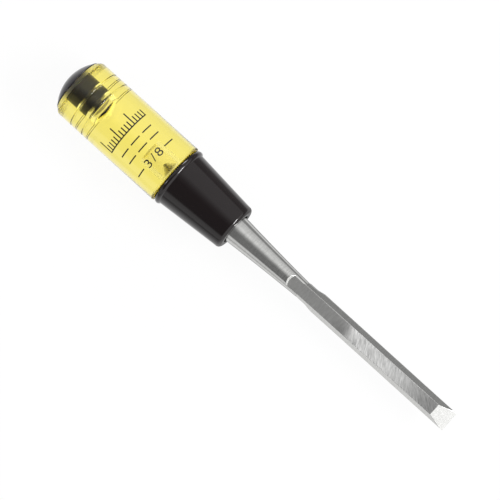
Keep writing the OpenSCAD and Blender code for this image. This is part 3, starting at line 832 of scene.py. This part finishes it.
class CHISEL_OT_stage(bpy.types.Operator):
    """Set up the white floor, the soft lights and the camera."""
    bl_idname = "chisel.stage"
    bl_label = "Stage"

    def execute(self, context):
        self.make_floor()
        self.make_world(context)
        self.make_lamp("lamp_right", direction=(0.7, 0.41, 0.585), size=(1.0, 0.45), power=34.0)
        self.make_lamp("lamp_upper_left", direction=(-0.65, 0.72, 0.26), size=(0.8, 0.6), power=12.0)
        self.make_lamp("lamp_lower_left", direction=(-0.69, -0.5, 0.53), size=(0.35, 0.5), power=4.0)
        self.make_camera(context, context.scene.chisel_stage)
        context.scene.view_settings.view_transform = "Standard"
        return {"FINISHED"}

    def make_floor(self):
        """White paper under the tool. To the camera it is white with a faint shadow, and through the handle
        it glows white with a faint painted shade below the grip's middle. Gloss and bare metal see the sheet
        glow as a
        painted reflection with painted shade: dimmer beyond the cap and far down the picture, a painted
        shadow close to the blade, and dark past the sheet's upper edge."""
        half = 3.0
        height = -0.1 * MM
        white_share = 0.94
        grip_shade = 0.94
        sheet_level = 0.95
        painted_shade_beyond_cap = 0.6
        painted_dark_level = 0.35
        far_shade = 0.75
        shank_shade = 0.45
        cap_lean = 0.75
        corners = [(-half, -half, height), (half, -half, height), (half, half, height), (-half, half, height)]
        floor = new_piece("paper_floor", corners, [], [(0, 1, 2, 3)])
        material, tree, place = new_material("paper_white")
        parts = add_node(tree, "ShaderNodeSeparateXYZ", inputs={"Vector": place}).outputs
        # Painted shade in the reflected sheet: dimmer beyond the cap, dark past its upper edge, dimmer far
        # down the picture
        aslant = add_node(tree, "ShaderNodeMath", {"operation": "MULTIPLY_ADD"},
                          {0: parts["Y"], 1: cap_lean, 2: parts["X"]})
        painted_shade_past_cap = add_node(tree, "ShaderNodeMapRange", SOFTLY,
                            {"Value": aslant, "From Min": CAP_TOP - 50 * MM, "From Max": CAP_TOP - 7 * MM,
                             "To Min": painted_shade_beyond_cap, "To Max": sheet_level})
        painted_dark_past_edge = add_node(tree, "ShaderNodeMapRange", SOFTLY,
                             {"Value": parts["Y"], "From Min": 28 * MM, "From Max": 44 * MM,
                              "To Min": painted_shade_past_cap, "To Max": painted_dark_level})
        far_painted_shade = add_node(tree, "ShaderNodeMapRange", SOFTLY,
                           {"Value": parts["Y"], "From Min": -90 * MM, "From Max": -55 * MM,
                            "To Min": far_shade, "To Max": 1.0})
        sheet = add_node(tree, "ShaderNodeMath", {"operation": "MULTIPLY"}, {0: painted_dark_past_edge, 1: far_painted_shade})
        # Painted shadow of the tool in the reflected sheet, close to the shank and blade from the ferrule's
        # nose on
        aside = add_node(tree, "ShaderNodeMath", {"operation": "ABSOLUTE"}, {0: parts["Y"]})
        painted_shank_shadow = add_node(tree, "ShaderNodeMapRange", SOFTLY,
                             {"Value": aside, "From Min": 12 * MM, "From Max": 26 * MM,
                              "To Min": shank_shade, "To Max": 1.0})
        under_ferrule = add_node(tree, "ShaderNodeMapRange",
                                 inputs={"Value": parts["X"], "From Min": NOSE - 5 * MM, "From Max": NOSE,
                                         "To Min": 1.0, "To Max": 0.0})
        out_of_painted_shadow = add_node(tree, "ShaderNodeMath", {"operation": "MAXIMUM"}, {0: painted_shank_shadow, 1: under_ferrule})
        level = add_node(tree, "ShaderNodeMath", {"operation": "MULTIPLY"}, {0: sheet, 1: out_of_painted_shadow})
        # Painted shade below the grip's middle, in the paper seen through the handle
        painted_shade_under_grip = add_node(tree, "ShaderNodeMapRange", SOFTLY,
                              {"Value": parts["Y"], "From Min": -3.2 * MM, "From Max": -1 * MM,
                               "To Min": grip_shade, "To Max": 1.0})
        paper = add_node(tree, "ShaderNodeBsdfDiffuse", inputs={"Color": linear("F2F2F2")})
        path = add_node(tree, "ShaderNodeLightPath").outputs
        seen = add_node(tree, "ShaderNodeMath", {"operation": "MULTIPLY"},
                        {0: path["Is Camera Ray"], 1: white_share})
        through = add_node(tree, "ShaderNodeMath", {"operation": "GREATER_THAN"},
                           {0: path["Transmission Depth"], 1: 0.5})
        # The paper glows: white to the camera, as a painted reflection with painted shade to gloss, and with
        # painted shade through the handle
        surface = paper
        for share, strength in ((seen, 1.0), (path["Is Glossy Ray"], level), (through, painted_shade_under_grip)):
            glow = add_node(tree, "ShaderNodeEmission", inputs={"Color": WHITE, "Strength": strength})
            surface = add_node(tree, "ShaderNodeMixShader", inputs={0: share, 1: surface, 2: glow})
        add_node(tree, "ShaderNodeOutputMaterial", inputs={"Surface": surface})
        floor.data.materials.append(material)

    def make_world(self, context):
        """A pale room: bright above the picture's upper side, dim overhead and above its lower side, pale
        again low down there, and bright past the cutting edge. To the camera it is plain white."""
        up_the_picture = (-0.672, 0.7405, 0.0)
        sweep_level = 0.64
        # Place and brightness of the walls, from the picture's lower side to its upper side
        stops = [(0.35, 0.21), (0.45, 0.2), (0.54, 0.36), (0.66, 0.84), (0.83, 0.84), (0.98, 0.5)]
        world = bpy.data.worlds.new("room")
        context.scene.world = world
        world.use_nodes = True
        tree = world.node_tree
        tree.nodes.clear()
        direction = add_node(tree, "ShaderNodeTexCoord").outputs["Generated"]
        parts = add_node(tree, "ShaderNodeSeparateXYZ", inputs={"Vector": direction}).outputs
        upward = add_node(tree, "ShaderNodeVectorMath", {"operation": "DOT_PRODUCT"},
                          {0: direction, 1: up_the_picture})
        share = add_node(tree, "ShaderNodeMapRange",
                         inputs={"Value": upward, "From Min": -1.0, "From Max": 1.0})
        walls = add_node(tree, "ShaderNodeValToRGB", inputs={"Fac": share})
        ramp = walls.color_ramp
        ramp.elements.remove(ramp.elements[1])
        for i, (at, level) in enumerate(stops):
            stop = ramp.elements.new(at) if i else ramp.elements[0]
            stop.position = at
            stop.color = (level, level, level, 1.0)
        low = add_node(tree, "ShaderNodeMapRange", SOFTLY,
                       {"Value": parts["Z"], "From Min": 0.34, "From Max": 0.5,
                        "To Min": sweep_level, "To Max": 0.0})
        lower_side = add_node(tree, "ShaderNodeMapRange", SOFTLY,
                              {"Value": upward, "From Min": -0.25, "From Max": 0.1,
                               "To Min": 1.0, "To Max": 0.0})
        sweep = add_node(tree, "ShaderNodeMath", {"operation": "MULTIPLY"}, {0: low, 1: lower_side})
        past_tip = add_node(tree, "ShaderNodeMapRange", SOFTLY,
                            {"Value": parts["X"], "From Min": 0.3, "From Max": 0.6})
        brighter = add_node(tree, "ShaderNodeMath", {"operation": "MAXIMUM"}, {0: sweep, 1: past_tip})
        room = add_node(tree, "ShaderNodeMath", {"operation": "ADD"}, {0: walls, 1: brighter})
        light, plain = [add_node(tree, "ShaderNodeBackground", inputs={"Color": WHITE, "Strength": glow})
                        for glow in (room, 1.0)]
        path = add_node(tree, "ShaderNodeLightPath").outputs
        mix = add_node(tree, "ShaderNodeMixShader", inputs={0: path["Is Camera Ray"], 1: light, 2: plain})
        add_node(tree, "ShaderNodeOutputWorld", inputs={"Surface": mix})

    def make_lamp(self, name, direction, size, power):
        """A soft box that faces the tool. It isn't seen through the handle, where it would only speckle."""
        distance = 2.0
        towards = Vector(direction)
        lamp = bpy.data.lights.new(name, "AREA")
        lamp.shape = "RECTANGLE"
        lamp.size, lamp.size_y = size
        lamp.energy = power
        box = bpy.data.objects.new(name, lamp)
        box.location = towards.normalized() * distance
        box.rotation_euler = towards.to_track_quat("Z", "Y").to_euler()
        box.visible_transmission = False
        bpy.context.scene.collection.objects.link(box)

    def make_camera(self, context, stage):
        """A long lens almost straight above, with the tool slanting down to the right."""
        camera = bpy.data.cameras.new("camera")
        stand = bpy.data.objects.new("camera", camera)
        context.scene.collection.objects.link(stand)
        context.scene.camera = stand
        place = Vector(stage.camera_place)
        back = place - Vector(stage.camera_aim)
        camera.sensor_width = 36.0
        camera.lens = camera.sensor_width * back.length / stage.picture_width
        camera.clip_end = 50.0
        back.normalize()
        along = Vector((1.0, 0.0, 0.0))
        along = (along - along.dot(back) * back).normalized()
        across = back.cross(along)
        right = math.cos(stage.camera_roll) * along + math.sin(stage.camera_roll) * across
        up = math.cos(stage.camera_roll) * across - math.sin(stage.camera_roll) * along
        turned = Matrix((right, up, back)).transposed().to_4x4()
        turned.translation = place
        stand.matrix_world = turned


# Add-on

class CHISEL_PT_panel(bpy.types.Panel):
    """Lists the chisel's pieces and its stage."""
    bl_idname = "CHISEL_PT_panel"
    bl_label = "Chisel"
    bl_space_type = "VIEW_3D"
    bl_region_type = "UI"
    bl_category = "Chisel"

    def draw(self, context):
        for operator in OPERATORS:
            self.layout.operator(operator.bl_idname)
        for name in SETTINGS:
            group = getattr(context.scene, name)
            box = self.layout.box()
            for prop in group.__annotations__:
                box.prop(group, prop)


SETTINGS = {
    "chisel_cap": CapSettings,
    "chisel_handle": HandleSettings,
    "chisel_ferrule": FerruleSettings,
    "chisel_blade": BladeSettings,
    "chisel_print": PrintSettings,
    "chisel_stage": StageSettings,
}
OPERATORS = (CHISEL_OT_cap, CHISEL_OT_handle, CHISEL_OT_ferrule, CHISEL_OT_print, CHISEL_OT_blade,
             CHISEL_OT_stage)


def register():
    for name, group in SETTINGS.items():
        bpy.utils.register_class(group)
        setattr(bpy.types.Scene, name, PointerProperty(type=group))
    for operator in OPERATORS:
        bpy.utils.register_class(operator)
    bpy.utils.register_class(CHISEL_PT_panel)


def unregister():
    bpy.utils.unregister_class(CHISEL_PT_panel)
    for operator in reversed(OPERATORS):
        bpy.utils.unregister_class(operator)
    for name, group in SETTINGS.items():
        delattr(bpy.types.Scene, name)
        bpy.utils.unregister_class(group)


def main():
    register()
    bpy.ops.chisel.cap()
    bpy.ops.chisel.handle()
    bpy.ops.chisel.ferrule()
    bpy.ops.chisel.print()
    bpy.ops.chisel.blade()
    bpy.ops.chisel.stage()


if __name__ == "__main__":
    main()
